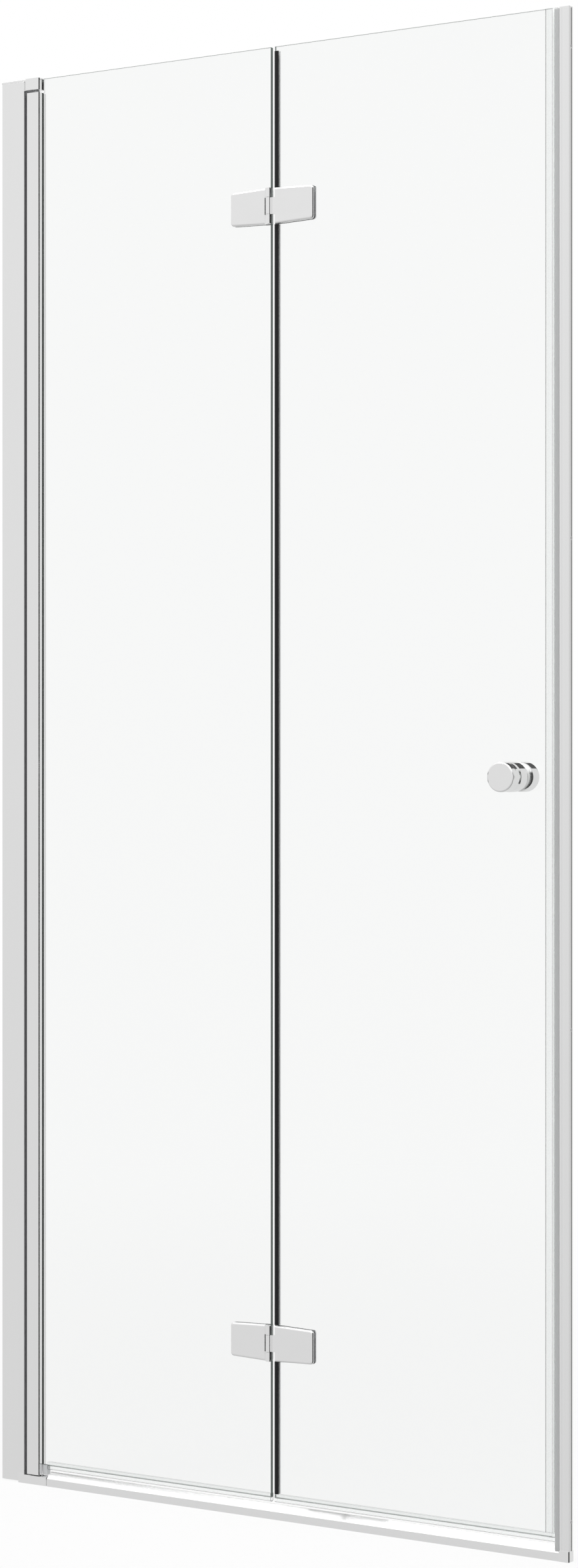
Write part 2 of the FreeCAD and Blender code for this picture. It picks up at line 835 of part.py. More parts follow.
def drip_seals():
    start = "profile_right + drip_start"
    drip_seal("pivot_drip_seal", start, "pivot_right")
    drip_seal("closing_drip_seal", "closing_left", "closing_right + drip_overrun")
    block = box(
        "drip_seal_stop",
        ("profile_right + end_gap", start),
        ("-seal_half", "seal_half"),
        ("profile_foot", "glass_lift"),
    )
    node("drip_seal_stop", block)


def magnet_seal():
    """Clear strip on the closing edge: two legs that grip it and a nose with the magnet."""
    tip = "closing_right + closing_nose"
    start = "closing_right - closing_leg"
    outline = (
        (start, "-seal_half"),
        (tip, "-seal_half"),
        (tip, "seal_half"),
        (start, "seal_half"),
        (start, "glass_rear"),
        ("closing_right", "glass_rear"),
        ("closing_right", "glass_front"),
        (start, "glass_front"),
    )
    slot = magnet_slot(f"({tip})", "-")
    low = "drip_top + end_gap"
    height = f"glass_top - ({low})"
    node("magnet_seal", extrusion("magnet_seal", "XY", outline, low, height, inner=[slot]))
    node("door_magnet", extrusion("door_magnet", "XY", slot, low, height))


def fold_seal():
    """Black strip on the fold edge of the closing pane, in three lengths between the hinges."""
    web = "closing_left - seal_skin"
    front_end = "closing_left + fold_leg"
    rear_end = "closing_left + fold_leg_rear"
    outline = (
        (web, "-seal_half"),
        (front_end, "-seal_half"),
        (front_end, "glass_front"),
        ("closing_left", "glass_front"),
        ("closing_left", "glass_rear"),
        (rear_end, "glass_rear"),
        (rear_end, "seal_half"),
        (web, "seal_half"),
    )
    half = "(plate_inner / 2 + end_gap)"
    spans = (
        ("drip_top + end_gap", f"lower_z - {half}"),
        (f"lower_z + {half}", f"upper_z - {half}"),
        (f"upper_z + {half}", "glass_top - fold_inset"),
    )
    strips = [
        extrusion(f"fold_strip_{i}", "XY", outline, low, f"{high} - ({low})")
        for i, (low, high) in enumerate(spans)
    ]
    node("fold_seal", group("fold_seal", *strips))


def plate_outline(inner, outer):
    """Plate that tapers from the knuckle to its outer end."""
    return (
        (inner, "-plate_inner / 2"),
        (outer, "-plate_outer / 2"),
        (outer, "plate_outer / 2"),
        (inner, "plate_inner / 2"),
    )


def knuckle(name, height, low, high):
    """Rounded block about the fold axis, from low to high above the hinge's middle."""
    wide = "knuckle_wide / 2"
    deep = "knuckle_deep / 2"
    outline = (
        (f"fold_x - {wide}", f"fold_y - {deep}"),
        (f"fold_x + {wide}", f"fold_y - {deep}"),
        (f"fold_x + {wide}", f"fold_y + {deep}"),
        (f"fold_x - {wide}", f"fold_y + {deep}"),
    )
    start = f"{height} + ({low})"
    return extrusion(name, "XY", outline, start, f"{high} - ({low})", [((0, 1, 2, 3), "knuckle_round")])


def hinge_half(level, height, side):
    """One leaf of a hinge: knuckle plate outside, back plate inside, pads and screws through the glass."""
    prefix = f"{level}_hinge_{side['name']}"
    edge, way = side["edge"], side["way"]
    outer = f"{edge} {way} plate_reach"
    screw_x = [f"{edge} {way} {inset}" for inset in ("hole_near", "hole_far")]
    front = plate_outline(side["inner"], outer)
    back = plate_outline(f"{edge} {way} back_inset", outer)
    corner = [((1, 2), "plate_round")]
    shown = [(1, "plate_edge", 0)]
    hidden = [(1, "plate_edge", 1)]

    plate = extrusion(prefix + "_leaf", "XZ", front, "plate_front", "plate_thick", corner, shown, z=height)
    knuckles = [knuckle(f"{prefix}_knuckle_{i}", height, *span) for i, span in enumerate(side["spans"])]
    necks = [
        box(
            f"{prefix}_neck_{i}",
            side["neck"],
            (f"plate_front + {side['recess']}", "plate_rear"),
            (f"{height} + ({low})", f"{height} + ({high})"),
        )
        for i, (low, high) in enumerate(side["spans"])
    ]
    solid = fuse(prefix + "_solid", plate, *knuckles, *necks)
    pin_way = rod(
        prefix + "_pin_way",
        "z",
        side["pin_way"],
        "knuckle_high",
        x="fold_x",
        y="fold_y",
        z=f"{height} - knuckle_high / 2",
    )
    threads = [
        rod(
            f"{prefix}_thread_{i}",
            "y",
            "hinge_screw / 2 + seat_gap",
            "hinge_screw_grip",
            x=x,
            y="plate_rear - hinge_screw_grip",
            z=height,
        )
        for i, x in enumerate(screw_x)
    ]
    node(prefix + "_plate", cut(prefix + "_plate", solid, pin_way, *threads))

    back_face = "(glass_rear + pad_thick)"
    back_plate = extrusion(prefix + "_cover", "XZ", back, back_face, "plate_thick", corner, hidden, z=height)
    head_face = f"{back_face} + plate_thick - hinge_screw_head_high"
    ways = [
        rod(f"{prefix}_way_{i}", "y", "hinge_screw / 2 + seat_gap", "plate_thick", x=x, y=back_face, z=height)
        for i, x in enumerate(screw_x)
    ]
    sinks = [
        rod(
            f"{prefix}_sink_{i}",
            "y",
            "hinge_screw_head / 2 + seat_gap",
            "hinge_screw_head_high",
            x=x,
            y=head_face,
            z=height,
        )
        for i, x in enumerate(screw_x)
    ]
    drilled = cut(prefix + "_drilled", back_plate, *ways)
    node(prefix + "_back_plate", cut(prefix + "_back_plate", drilled, *sinks))

    pad_holes = [(x, "0", "hinge_hole") for x in screw_x]
    pads = [
        extrusion(f"{prefix}_pad_{i}", "XZ", shape, start, "pad_thick", corner, holes=pad_holes, z=height)
        for i, (shape, start) in enumerate(((side["pad"](outer), "plate_rear"), (back, "glass_rear")))
    ]
    node(prefix + "_pads", group(prefix + "_pads", *pads))

    tip = "(plate_rear - hinge_screw_grip)"
    top = f"({back_face} + plate_thick)"
    profile = (
        ("0", tip),
        ("hinge_screw / 2", tip),
        ("hinge_screw / 2", head_face),
        ("hinge_screw_head / 2", head_face),
        ("hinge_screw_head / 2", top),
        ("socket_bore / 2", top),
        ("socket_bore / 2", f"{top} - socket_deep"),
        ("0", f"{top} - socket_deep"),
    )
    screws = [turned(f"{prefix}_screw_{i}", "y", profile, x=x, z=height) for i, x in enumerate(screw_x)]
    node(prefix + "_screws", group(prefix + "_screws", *screws))


def hinges():
    """Two hinges: the end knuckles stay with the pivot leaf, the middle one turns with the closing leaf."""
    step = "(knuckle_middle / 2 + knuckle_gap / 2)"
    run = "(knuckle_middle / 2 - knuckle_gap / 2)"
    pivot_inner = "fold_x - pivot_plate_gap"
    closing_inner = "fold_x + closing_plate_gap"
    pivot_side = {
        "name": "pivot",
        "edge": "pivot_right",
        "way": "-",
        "inner": pivot_inner,
        "neck": (pivot_inner, "fold_x - knuckle_wide / 4"),
        "recess": "neck_recess",
        "spans": ((step, "knuckle_high / 2"), ("-knuckle_high / 2", f"-{step}")),
        "pin_way": "hinge_pin / 2 + seat_gap",
        "pad": lambda outer: plate_outline(pivot_inner, outer),
    }
    closing_side = {
        "name": "closing",
        "edge": "closing_left",
        "way": "+",
        "inner": closing_inner,
        "neck": ("fold_x + knuckle_wide / 4", closing_inner),
        "recess": "0",
        "spans": ((f"-{run}", run),),
        "pin_way": "hinge_bush / 2 + seat_gap",
        "pad": lambda outer: plate_outline(closing_inner, outer),
    }
    half = "(knuckle_high / 2 - pin_recess)"
    for level, height in (("upper", "upper_z"), ("lower", "lower_z")):
        for side in (pivot_side, closing_side):
            hinge_half(level, height, side)
        axis = {"x": "fold_x", "y": "fold_y", "z": height}
        pin = (("0", f"-{half}"), ("hinge_pin / 2", f"-{half}"), ("hinge_pin / 2", half), ("0", half))
        node(f"{level}_hinge_pin", turned(f"{level}_hinge_pin", "z", pin, **axis))
        bush = ("hinge_pin / 2 + pin_run", "hinge_bush / 2", f"-{run}", run)
        node(f"{level}_hinge_bush", ring(f"{level}_hinge_bush", "z", *bush, **axis))


def knob():
    """Outer knob with a waist behind its disc, rounded inner knob, and the stud that clamps them."""
    at = {"x": "knob_x", "z": "knob_height"}
    stud_way = "stud_bore / 2 + seat_gap"
    seat = "glass_front - knob_pad"
    stop = "glass_front - knob_pad - stud_grip"
    waist = "(knob_face + knob_disc)"
    neck = "knob_r - knob_waist_deep"
    outer = (
        ("0", "knob_face"),
        ("knob_r - knob_chamfer", "knob_face"),
        ("knob_r", "knob_face + knob_chamfer_deep"),
        ("knob_r", waist),
        (neck, f"{waist} + knob_slope"),
        (neck, f"{waist} + knob_slope + knob_waist"),
        ("knob_r", f"{waist} + 2 * knob_slope + knob_waist"),
        ("knob_r", seat),
        (stud_way, seat),
        (stud_way, stop),
        ("0", stop),
    )
    rounds = [((7,), "knob_shoulder"), ((2,), "knob_edge")]
    node("knob_outer", turned("knob_outer", "y", outer, rounds, **at))
    inner_seat = "glass_rear + knob_pad"
    inner_stop = "glass_rear + knob_pad + stud_grip"
    inner = (
        ("0", "knob_back"),
        ("knob_r", "knob_back"),
        ("knob_r", inner_seat),
        (stud_way, inner_seat),
        (stud_way, inner_stop),
        ("0", inner_stop),
    )
    node("knob_inner", turned("knob_inner", "y", inner, [((1, 2), "knob_inner_round")], **at))
    stud = (("0", stop), ("stud_bore / 2", stop), ("stud_bore / 2", inner_stop), ("0", inner_stop))
    node("knob_stud", turned("knob_stud", "y", stud, **at))
    sleeve = ("knob_hole / 2 - seat_gap", "glass_front", "glass_rear")
    node("knob_sleeve", ring("knob_sleeve", "y", stud_way, *sleeve, **at))
    pads = [
        ring(f"knob_pad_{i}", "y", stud_way, "knob_pad_wide / 2", low, high, **at)
        for i, (low, high) in enumerate(((seat, "glass_front"), ("glass_rear", inner_seat)))
    ]
    node("knob_washers", group("knob_washers", *pads))


def check_and_write():
    """Stop on any failed object or bad shape, then write one file per sub-part."""
    doc.recompute()
    failed = [thing.Label for thing in doc.Objects if {"Invalid", "Error"} & set(thing.State)]
    if failed:
        raise RuntimeError(f"failed objects: {failed}")
    bad = [thing.Label for thing in nodes if thing.Shape.isNull() or not thing.Shape.isValid()]
    if bad:
        raise RuntimeError(f"bad shapes: {bad}")
    os.makedirs("parts", exist_ok=True)
    for thing in nodes:
        thing.Shape.exportStep(f"parts/{thing.Label}.step")
        print(thing.Label, len(thing.Shape.Solids), round(thing.Shape.Volume))


make_sheet()
wall_profile_left()
wall_profile_cap()
adjusting_profile()
adjusting_screws()
pivot_block_top()
pivot_block_bottom()
pivot_pins()
threshold_rail()
threshold_end_right()
strike_profile()
strike_profile_cap()
strike_seal()
panes()
pivot_profile()
glazing_gasket()
pivot_bushes()
drip_seals()
magnet_seal()
fold_seal()
hinges()
knob()
check_and_write()
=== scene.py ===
"""Finishes, soft seals, light and camera for a folding shower door.

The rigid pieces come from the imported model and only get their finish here.  The soft seals are new surfaces:
thin walls whose section, drawn around a glass edge or in a profile, is carried along it.
"""

import math

import bpy
import numpy as np
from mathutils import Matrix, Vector


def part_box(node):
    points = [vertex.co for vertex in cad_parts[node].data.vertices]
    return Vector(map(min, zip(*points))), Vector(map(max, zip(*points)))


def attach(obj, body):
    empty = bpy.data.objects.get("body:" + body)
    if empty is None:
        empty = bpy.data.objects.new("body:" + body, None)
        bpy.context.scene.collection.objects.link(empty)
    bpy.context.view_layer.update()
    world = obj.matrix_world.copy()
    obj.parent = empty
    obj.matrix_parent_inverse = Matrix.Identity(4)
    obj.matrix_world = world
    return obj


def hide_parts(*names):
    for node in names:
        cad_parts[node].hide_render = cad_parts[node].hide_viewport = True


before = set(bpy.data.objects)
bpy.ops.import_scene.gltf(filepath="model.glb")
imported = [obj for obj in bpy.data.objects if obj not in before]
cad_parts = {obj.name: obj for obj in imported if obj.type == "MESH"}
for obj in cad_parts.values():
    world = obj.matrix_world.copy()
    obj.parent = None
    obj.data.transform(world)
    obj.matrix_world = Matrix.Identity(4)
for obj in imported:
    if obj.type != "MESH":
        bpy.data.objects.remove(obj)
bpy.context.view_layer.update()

bl_info = {
    "name": "Folding shower door",
    "version": (1, 0, 0),
    "blender": (4, 5, 0),
    "location": "View3D > Sidebar > Door",
    "description": "Finishes, soft seals and stage of a folding shower door",
    "category": "Object",
}

MM = 0.001
IMAGE_HEIGHT = 2394
SENSOR = 36.0
FOCAL_PIXELS = 5229.9
HORIZON_PIXEL = 1163.8

# Brightness of the studio that metal mirrors: all round, and what is added in front per unit of rise
# and overhead.
STUDIO_LEVEL = 0.79
STUDIO_RISE = 0.27
STUDIO_TOP = 0.2
# Y parts of a direction: from the first one up it is not in front, and below the second one it is wholly so.
IN_FRONT = (0.7, 0.2)
# Z parts of a direction: below the first one it is not overhead, and from the second one up it is wholly so.
OVERHEAD = (0.3, 0.7)
# Dark side: middle heading, degrees from it to the end of full dark, and degrees to the end of any dark.
DARK_SIDE = (100, 33, 39)
# Z parts of a direction at which the dark side ends, and below which it is full.
DARK_SIDE_TOP = (0.6, 0.35)
# Dark patch high up behind the door, which only rounded metal mirrors.
DARK_BACK = (185, 15, 19)
# Z parts of a direction at which that patch is none and full, at its foot and at its top.
DARK_BACK_FOOT = (0.30, 0.36)
DARK_BACK_TOP = (0.64, 0.60)
# Share of the light that the dark side and the dark patch take away.
DARKNESS = 0.97

# Share of plain white in the floor at the door, and the distances from it between which the share grows to 1.
FLOOR_WHITE = 0.9
FLOOR_FADE = (0.6, 4.0)

# Soft square lamps: name, place and watts; their side, and the point that they face.
LAMPS = (("key_lamp", (-1.3, -1.5, 4.2), 38), ("fill_lamp", (1.6, -0.9, 4.0), 20))
LAMP_SIDE = 1.6
LAMP_AIM = Vector((0, 0, 0.9))

# Noise cells to the metre along each axis for metal drawn along Z and along X.
DRAWN_UP = (2200, 2200, 9)
DRAWN_ALONG = (9, 2200, 2200)

HINGE_LEVELS = ("upper", "lower")
HINGE_SIDES = ("pivot", "closing")


def hinge_nodes(*endings):
    """Names of the like pieces of both hinges on both leaves."""
    return [
        f"{level}_hinge_{side}_{end}"
        for level in HINGE_LEVELS
        for side in HINGE_SIDES
        for end in endings
    ]


UPRIGHTS = ["wall_profile_left", "pivot_profile"]
FITTINGS = [
    "wall_profile_cap",
    "pivot_block_top",
    "pivot_block_bottom",
    "threshold_end_right",
    "strike_profile_cap",
    *hinge_nodes("plate", "back_plate"),
]
KNOBS = ["knob_outer", "knob_inner"]
FASTENERS = [
    "adjusting_screws",
    "pivot_pin_top",
    "pivot_pin_bottom",
    "upper_hinge_pin",
    "lower_hinge_pin",
    "knob_stud",
    *hinge_nodes("screws"),
]
PLASTICS = [
    "pivot_bush_top",
    "pivot_bush_bottom",
    "pivot_washer",
    "drip_seal_stop",
    "upper_hinge_bush",
    "lower_hinge_bush",
    "knob_sleeve",
    *hinge_nodes("pads"),
]
MAGNETS = ["door_magnet", "strike_magnet"]


def colour(name, description, default):
    """Property that holds a plain colour."""
    return bpy.props.FloatVectorProperty(
        name=name, description=description, subtype="COLOR", size=3, min=0, max=1, default=default
    )


def share(name, description, default):
    """Property that holds a share of 0 to 1."""
    return bpy.props.FloatProperty(
        name=name, description=description, subtype="FACTOR", min=0, max=1, default=default
    )


def length(name, description, default):
    """Property that holds a length in metres."""
    return bpy.props.FloatProperty(name=name, description=description, unit="LENGTH", default=default)


class DoorFinishes(bpy.types.PropertyGroup):
    """Colours and gloss of the rigid pieces, and places of the work on the strike profile."""

    aluminium: colour("Aluminium", "Bright anodised profiles", (0.90, 0.90, 0.90))
    aluminium_roughness: share("Aluminium roughness", "Blur of the profiles' reflections", 0.10)
    # Mill finish: its dull gloss is the profile's own, and its dark tint is partly painted shade of the slot
    # that it lies in.
    mill_and_slot_shade: colour("Mill finish", "Adjusting profile inside the wall channel", (0.32, 0.32, 0.33))
    mill_roughness: share("Mill roughness", "Blur of the adjusting profile's reflections", 0.40)
    chrome: colour("Chrome", "Plated hinges, blocks, caps and knob", (0.91, 0.91, 0.91))
    chrome_roughness: share("Chrome roughness", "Blur of the plated reflections", 0.05)
    steel: colour("Steel", "Pins, screws and stud", (0.60, 0.60, 0.61))
    glass: colour("Glass", "Tint that light takes on through a pane", (0.943, 0.950, 0.946))
    glass_edge: colour("Glass edge", "Upright narrow faces of the panes", (0.115, 0.160, 0.140))
    # Painted light: the level ends are painted lighter than the upright faces.
    glass_end_painted_light: colour("Glass end", "Level narrow faces of the panes", (0.52, 0.56, 0.54))
    # Painted light: the sealed edge is painted pale, and on the closing pane it glows, for light seen there
    # through the seal.
    glass_sealed_painted_light: colour("Sealed glass edge", "Narrow face under the closing seal", (0.95, 0.96, 0.955))
    glass_painted_glow: share("Glass glow", "Light that a pane pipes to its sealed edge", 0.42)
    plastic: colour("Plastic", "Bushes, pads and washers", (0.74, 0.75, 0.76))
    magnet: colour("Magnet", "Magnet strips inside the closing seals", (0.95, 0.95, 0.94))
    groove: length("Groove", "Width of the strike profile's screw groove", 2 * MM)
    # Painted shade: the darker tint in the groove.
    groove_shade: share("Groove shade", "Tint of that groove as a share of the profile's", 0.45)
    bore: length("Bore", "Width of the wall screw holes in the strike profile", 4.5 * MM)
    bore_end: length("Bore end", "Height of the lowest of those holes", 50 * MM)
    bore_pitch: length("Bore pitch", "Height from each of those holes to the next", 615.5 * MM)


class DoorSeals(bpy.types.PropertyGroup):
    """Colours, gloss and sizes of the soft seals and the gaskets."""

    wall: length("Wall", "Thickness of the soft walls", 0.9 * MM)
    fit: length("Fit", "Film of air between a soft wall and the glass", 0.06 * MM)
    corner: length("Corner", "Radius of the rounded corners in a seal's section", 1.4 * MM)
    clear: colour("Clear vinyl", "Tint of the clear seals", (0.975, 0.982, 0.980))
    clear_haze: share("Clear haze", "Blur of what is seen through the clear seals", 0.09)
    # Painted shade: the lip's width and shade give a darker band painted at the end of the closing seal's
    # front leg.
    lip: length("Lip", "Width of the rolled end of the closing seal's front leg", 1.26 * MM)
    lip_painted_shade: share("Lip shade", "Tint of that end as a share of the seal's", 0.55)
    milky: colour("Milky vinyl", "Seal of the strike profile", (0.74, 0.75, 0.75))
    milky_haze: share("Milky haze", "Blur of what is seen through the milky seal", 0.3)
    milky_clear: share("Milky clearness", "Share of light that passes into the milky seal", 0.3)
    black: colour("Black vinyl", "Strip at the fold", (0.012, 0.012, 0.013))
    black_shine: share("Black shine", "Strength of the fold strip's gloss", 0.15)
    # Painted light: the black strip's side on the glass is painted pale, for the light seen there through the
    # glass.
    fold_painted_light: colour("Fold skin", "Side of the fold strip on the rear face of the glass", (0.88, 0.88, 0.88))
    gasket: colour("Gasket", "Rubber in the pivot profile and under the knobs", (0.060, 0.072, 0.064))
    gasket_shine: share("Gasket shine", "Strength of that rubber's gloss", 0.5)
    fold_rear: length("Fold rear leg", "Reach of the fold strip on the rear face of the glass", 5.8 * MM)
    rail_edge: length("Rail edge", "Height of the rail's front edge, where its slope starts", 10.4 * MM)
    rail_ridge: length("Rail ridge", "Depth of the level ridge behind the rail's slope", 1.5 * MM)
    gap: length("Gap", "Air between a seal's end and the piece that it meets", 0.3 * MM)


class DoorStage(bpy.types.PropertyGroup):
    """Camera, floor and light."""

    eye: bpy.props.FloatVectorProperty(
        name="Eye", description="Place of the camera", subtype="TRANSLATION", unit="LENGTH",
        default=(2.52236, -3.77523, 1.00058),
    )
    turn: bpy.props.FloatProperty(
        name="Turn", description="Turn of the camera to the left", subtype="ANGLE",
        default=math.radians(33.52),
    )
    floor: colour("Floor", "Plain pale floor", (0.96, 0.96, 0.96))
    floor_side: length("Floor side", "Side of the square floor", 9.0)
    daylight: share("Daylight", "Even light on matt surfaces", 0.55)


class Wire:
    """An output socket of a node tree.  Arithmetic on it adds Math nodes to that tree."""

    def __init__(self, tree, socket=None):
        self.tree = tree
        self.socket = socket

    def node(self, kind, settings=(), inputs=(), output=0):
        """New node of that type: its settings first, then a value or a link for each socket named."""
        made = self.tree.nodes.new(kind)
        for name, value in dict(settings).items():
            setattr(made, name, value)
        for name, value in dict(inputs).items():
            if isinstance(value, Wire):
                self.tree.links.new(value.socket, made.inputs[name])
            else:
                made.inputs[name].default_value = value
        return Wire(self.tree, made.outputs[output])

    def math(self, operation, *values):
        """Math node of that operation on values and wires."""
        return self.node("ShaderNodeMath", {"operation": operation}, enumerate(values))

    def __add__(self, other):
        return self.math("ADD", self, other)

    def __sub__(self, other):
        return self.math("SUBTRACT", self, other)

    def __rsub__(self, other):
        return self.math("SUBTRACT", other, self)

    def __mul__(self, other):
        return self.math("MULTIPLY", self, other)

    def __truediv__(self, other):
        return self.math("DIVIDE", self, other)

    __radd__ = __add__
    __rmul__ = __mul__

    def step(self, low, high):
        """0 below low, 1 above high and smooth between; the other way round where low is the larger."""
        return self.node(
            "ShaderNodeMapRange",
            {"interpolation_type": "SMOOTHSTEP"},
            {"Value": self, "From Min": low, "From Max": high},
        )

    def either(self, other):
        """The larger of both."""
        return self.math("MAXIMUM", self, other)

    def part(self, axis):
        """One component of a vector."""
        return self.node("ShaderNodeSeparateXYZ", (), {0: self}, "XYZ".index(axis))

    def mix(self, first, second):
        """Colour from first to second as this value goes from 0 to 1."""
        made = self.node("ShaderNodeMix", {"data_type": "RGBA"}, {0: self}, 2)
        for socket, value in zip(made.socket.node.inputs[6:8], (first, second)):
            if isinstance(value, Wire):
                self.tree.links.new(value.socket, socket)
            else:
                socket.default_value = (*value, 1)
        return made

    def place(self):
        """Object coordinates, which are metres in the door's own frame."""
        return self.node("ShaderNodeTexCoord", output="Object")

    def noise(self, scale, detail=3.0):
        """Noise of 0 to 1 with scale cells to the metre along each axis."""
        spread = self.node("ShaderNodeMapping", (), {"Vector": self.place(), "Scale": scale})
        return self.node("ShaderNodeTexNoise", (), {"Vector": spread, "Scale": 1.0, "Detail": detail})

    def bump(self, height, depth):
        """Normal from a height of 0 to 1 that stands for a depth in metres."""
        return self.node("ShaderNodeBump", (), {"Height": height, "Distance": depth, "Strength": 1.0})

    def tinted(self, tint, low, high):
        """The tint times a factor that goes from low to high as this value goes from 0 to 1."""
        return self.mix(shaded(tint, low), shaded(tint, high))


def shaded(tint, factor):
    """The tint made darker or lighter, as a plain colour."""
    return tuple(min(1.0, channel * factor) for channel in tint)


def material(name, paint, **constants):
    """Principled material: constants go on their sockets, and paint gives the inputs that vary."""
    made = bpy.data.materials.new(name)
    made.use_nodes = True
    tree = made.node_tree
    shader = tree.nodes["Principled BSDF"]
    for socket, value in constants.items():
        shader.inputs[socket.replace("_", " ")].default_value = value
    for socket, wire in paint(Wire(tree)).items():
        tree.links.new(wire.socket, shader.inputs[socket])
    return made


def pass_light(tree, shader, tint):
    """Material's output: shadow rays take on a plain tint on their way through, other rays see the shader."""
    see_through = shader.node("ShaderNodeBsdfTransparent", (), {"Color": (*tint, 1)})
    shadow = shader.node("ShaderNodeLightPath", output="Is Shadow Ray")
    whole = shader.node("ShaderNodeMixShader", (), {0: shadow, 1: shader, 2: see_through})
    tree.links.new(whole.socket, tree.nodes["Material Output"].inputs["Surface"])


def bright_aluminium(name, tint, roughness, grain, worked=None):
    """Extruded metal: faint drawn streaks along the bar, and a slow change of gloss.

    Worked gives the shares of a place that are drilled, where the metal is bare, oxidised and matt,
    and grooved, and the darker tint painted in the groove as shade.
    """

    def paint(wire):
        streak = wire.noise(grain)
        cloud = wire.noise((9, 9, 5))
        inputs = {
            "Base Color": streak.tinted(tint, 0.985, 1.012),
            "Roughness": roughness * (0.8 + 0.25 * cloud + 0.15 * streak),
            "Normal": wire.bump(streak, 0.002 * MM),
        }
        if worked:
            drilled, grooved, dark = worked(wire)
            inputs["Metallic"] = 1 - drilled
            # Painted shade: the groove takes a darker tint of the profile's colour.
            inputs["Base Color"] = (grooved * (1 - drilled)).mix(inputs["Base Color"], dark)
        return inputs

    return material(name, paint, Metallic=1.0)


def strike_work(finish):
    """Shares of a place in the strike profile that are drilled and grooved, and the darker tint painted in the
    groove as shade.

    The wall screw holes run level, at an even pitch.  They start from a groove behind the right face.
    """

    def worked(wire):
        place = wire.place()
        low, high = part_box("strike_profile")
        edge = 0.1 * MM
        across = place.part("Y") - (low.y + high.y) / 2
        turns = (place.part("Z") - finish.bore_end) / finish.bore_pitch
        along = (turns - wire.math("ROUND", turns)) * finish.bore_pitch
        out = wire.math("SQRT", across * across + along * along)
        drilled = out.step(finish.bore / 2 + edge, finish.bore / 2)
        wall = finish.groove / 2 + edge
        between = wire.math("ABSOLUTE", across).step(wall + edge, wall)
        inside = place.part("X").step(high.x, high.x - edge)
        return drilled, between * inside, shaded(finish.aluminium, finish.groove_shade)

    return worked


def plated_chrome(name, tint, roughness):
    """Mirror plating: a slight orange peel, and wiped marks that only dull the gloss."""

    def paint(wire):
        peel = wire.noise((420, 420, 420), 1.0)
        wiped = wire.noise((35, 35, 90))
        return {
            "Base Color": wiped.tinted(tint, 0.99, 1.01),
            "Roughness": roughness * (0.7 + 0.6 * wiped),
            "Normal": wire.bump(peel, 0.0015 * MM),
        }

    return material(name, paint, Metallic=1.0)


def turned_steel(tint):
    """Machined steel: fine uneven scratches over a satin ground."""

    def paint(wire):
        scratch = wire.noise((2600, 2600, 700))
        return {
            "Base Color": scratch.tinted(tint, 0.9, 1.06),
            "Roughness": 0.24 + 0.16 * scratch,
            "Normal": wire.bump(scratch, 0.004 * MM),
        }

    return material("turned_steel", paint, Metallic=1.0)


def moulded_plastic(tint):
    """Grey moulded plastic with a fine spark-eroded grain."""

    def paint(wire):
        grain = wire.noise((2200, 2200, 2200), 2.0)
        cloud = wire.noise((60, 60, 60))
        return {
            "Base Color": cloud.tinted(tint, 0.93, 1.06),
            "Roughness": 0.42 + 0.14 * grain,
            "Normal": wire.bump(grain, 0.01 * MM),
        }

    return material("moulded_plastic", paint)


def sintered_magnet(tint):
    """Bonded magnet strip: matt, speckled."""

    def paint(wire):
        speck = wire.noise((1500, 1500, 900), 4.0)
        return {
            "Base Color": speck.step(0.35, 0.7).tinted(tint, 0.8, 1.2),
            "Roughness": 0.55 + 0.2 * speck,
            "Normal": wire.bump(speck, 0.02 * MM),
        }

    return material("sintered_magnet", paint)


def clear_vinyl(name, tint, haze, clear, lip=None):
    """Soft vinyl, clear by a share: its haze, faintly uneven, blurs what is seen through it.

    Lip gives the place where its front leg ends on the left, and the width and tint of a darker band there:
    painted shade for the dark line that the leg's end shows.
    """

    def paint(wire):
        cloud = wire.noise((900, 900, 900), 1.0)
        tone = cloud.tinted(tint, 0.99, 1.01)
        if lip:
            end, wide, shade = lip
            place = wire.place()
            # Painted shade: a darker band at the front leg's end.
            rolled = place.part("X").step(end + wide, end + 0.8 * wide) * place.part("Y").step(0, -MM)
            tone = rolled.mix(tone, shaded(tint, shade))
        return {
            "Base Color": tone,
            "Roughness": haze * (0.7 + 0.8 * cloud),
            "Normal": wire.bump(cloud, 0.004 * MM),
        }

    made = material(name, paint, Transmission_Weight=clear, IOR=1.45)
    shader = Wire(made.node_tree, made.node_tree.nodes["Principled BSDF"].outputs[0])
    pass_light(made.node_tree, shader, shaded(tint, clear))
    return made


def dark_rubber(name, tint, shine, inner=None):
    """Dark soft rubber with a fine matt skin; shine is 0.5 for a clean one and less for a dusted one.

    Inner gives the depth of the rear wall's middle, and a pale tint painted on its side that lies on the
    glass:
    painted light, for the light seen there through the glass.  That side is within 0.6 mm in front of the
    middle.
    """

    def paint(wire):
        skin = wire.noise((1800, 1800, 500), 2.0)
        tone = skin.tinted(tint, 0.85, 1.25)
        if inner:
            middle, pale = inner
            depth = wire.place().part("Y")
            # Painted light: the side on the glass takes a pale tint in place of the black rubber's.
            painted_light_mask = depth.step(middle - MM, middle - 0.6 * MM) * depth.step(middle + 0.1 * MM, middle)
            tone = painted_light_mask.mix(tone, pale)
        return {
            "Base Color": tone,
            "Roughness": 0.38 + 0.14 * skin,
            "Normal": wire.bump(skin, 0.008 * MM),
        }

    return material(name, paint, Specular_IOR_Level=shine)


